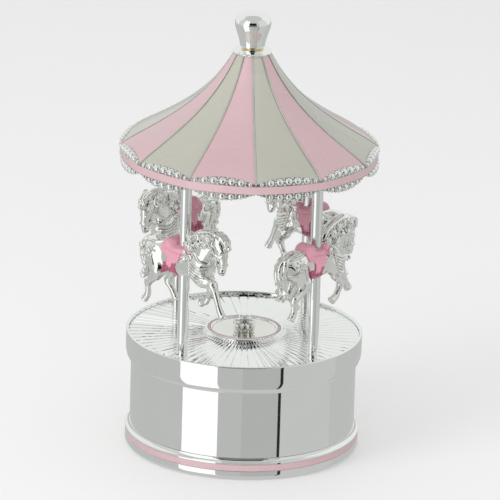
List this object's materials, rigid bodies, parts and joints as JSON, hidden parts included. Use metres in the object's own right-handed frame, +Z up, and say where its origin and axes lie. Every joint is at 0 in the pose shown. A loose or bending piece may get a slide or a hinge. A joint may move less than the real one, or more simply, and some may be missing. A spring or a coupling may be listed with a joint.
{
  "type": "carousel music box",
  "caption": "Wind-up carousel music box in polished silver plate: horses on posts turn under a pink and pearl enamelled tent roof above a round musical base.",
  "frame": {"origin": "centre of the base's underside, on the axis that the carousel turns on", "axes": "+Z up along the spindle; -Y is the front"},
  "size_m": [0.1156, 0.1156, 0.2003],
  "materials": {
    "silver": "polished silver plate",
    "cast_silver": "polished silver plate on a casting",
    "pink_enamel": "gloss",
    "pearl_enamel": "gloss",
    "brass": "satin",
    "steel": "satin",
    "zinc": "satin",
    "nylon": "matte",
    "felt": "felt"
  },
  "bodies": {
    "base": {"felt_ring": "felt", "foot_ring": "silver", "foot_enamel": "pink_enamel", "base_drum": "silver", "drum_deck": "silver", "spindle_bush": "brass", "thrust_washer": "nylon", "bottom_plate": "zinc", "plate_screws": "steel", "movement_screws": "steel", "bedplate": "zinc", "inner_bracket": "zinc", "outer_bracket": "zinc", "bracket_screws": "steel", "comb": "steel", "comb_block": "zinc", "comb_screws": "brass", "clutch_spring": "steel"},
    "key": {"winding_arbor": "steel", "winding_key": "steel"},
    "carousel": {"spring_barrel": "brass", "barrel_cap": "brass", "mainspring": "steel", "output_spindle": "steel", "turntable_cap": "silver", "turntable_hub": "brass", "floor_plate": "silver", "medallion_ring": "silver", "medallion_enamel": "pink_enamel", "medallion_dish": "silver", "rosette": "silver", "rosette_cap_nut": "silver", "post_1": "silver", "post_2": "silver", "post_3": "silver", "post_4": "silver", "post_nuts": "brass", "horse_1": "cast_silver", "horse_2": "cast_silver", "horse_3": "cast_silver", "horse_4": "cast_silver", "ceiling_plate": "silver", "tie_rod": "steel", "roof_shell": "silver", "pink_gores": "pink_enamel", "pearl_gores": "pearl_enamel", "valance_enamel": "pink_enamel", "upper_bead_trim": "silver", "lower_bead_trim": "silver", "finial": "silver"},
    "music_cylinder": {"cylinder_tube": "brass", "cylinder_ends": "brass", "cylinder_shaft": "steel", "cylinder_pinion": "brass", "cylinder_wheel": "brass"},
    "governor_wheel": {"governor_shaft": "steel", "governor_pinion": "brass", "worm_wheel": "nylon"},
    "governor_fan": {"worm": "steel", "air_brake": "brass"}
  },
  "joints": [
    {"name": "carousel_spin", "type": "hinge", "parent": "base", "child": "carousel", "pos_m": [0, 0, 0.0483], "axis": [0, 0, 1], "continuous": true},
    {"name": "key_wind", "type": "hinge", "parent": "base", "child": "key", "pos_m": [0, 0, 0.0175], "axis": [0, 0, 1], "continuous": true},
    {"name": "cylinder_spin", "type": "hinge", "parent": "base", "child": "music_cylinder", "pos_m": [0.0242, 0, 0.0255], "axis": [1, 0, 0], "continuous": true},
    {"name": "governor_wheel_spin", "type": "hinge", "parent": "base", "child": "governor_wheel", "pos_m": [0.0353, 0.00755, 0.0255], "axis": [1, 0, 0], "continuous": true},
    {"name": "governor_fan_spin", "type": "hinge", "parent": "base", "child": "governor_fan", "pos_m": [0.0371, 0.0128, 0.0255], "axis": [0, 0, 1], "continuous": true}
  ],
  "couplings": [
    {"joint": "cylinder_spin", "follows": "carousel_spin", "ratio": 4},
    {"joint": "governor_wheel_spin", "follows": "carousel_spin", "ratio": -16},
    {"joint": "governor_fan_spin", "follows": "carousel_spin", "ratio": 384}
  ]
}
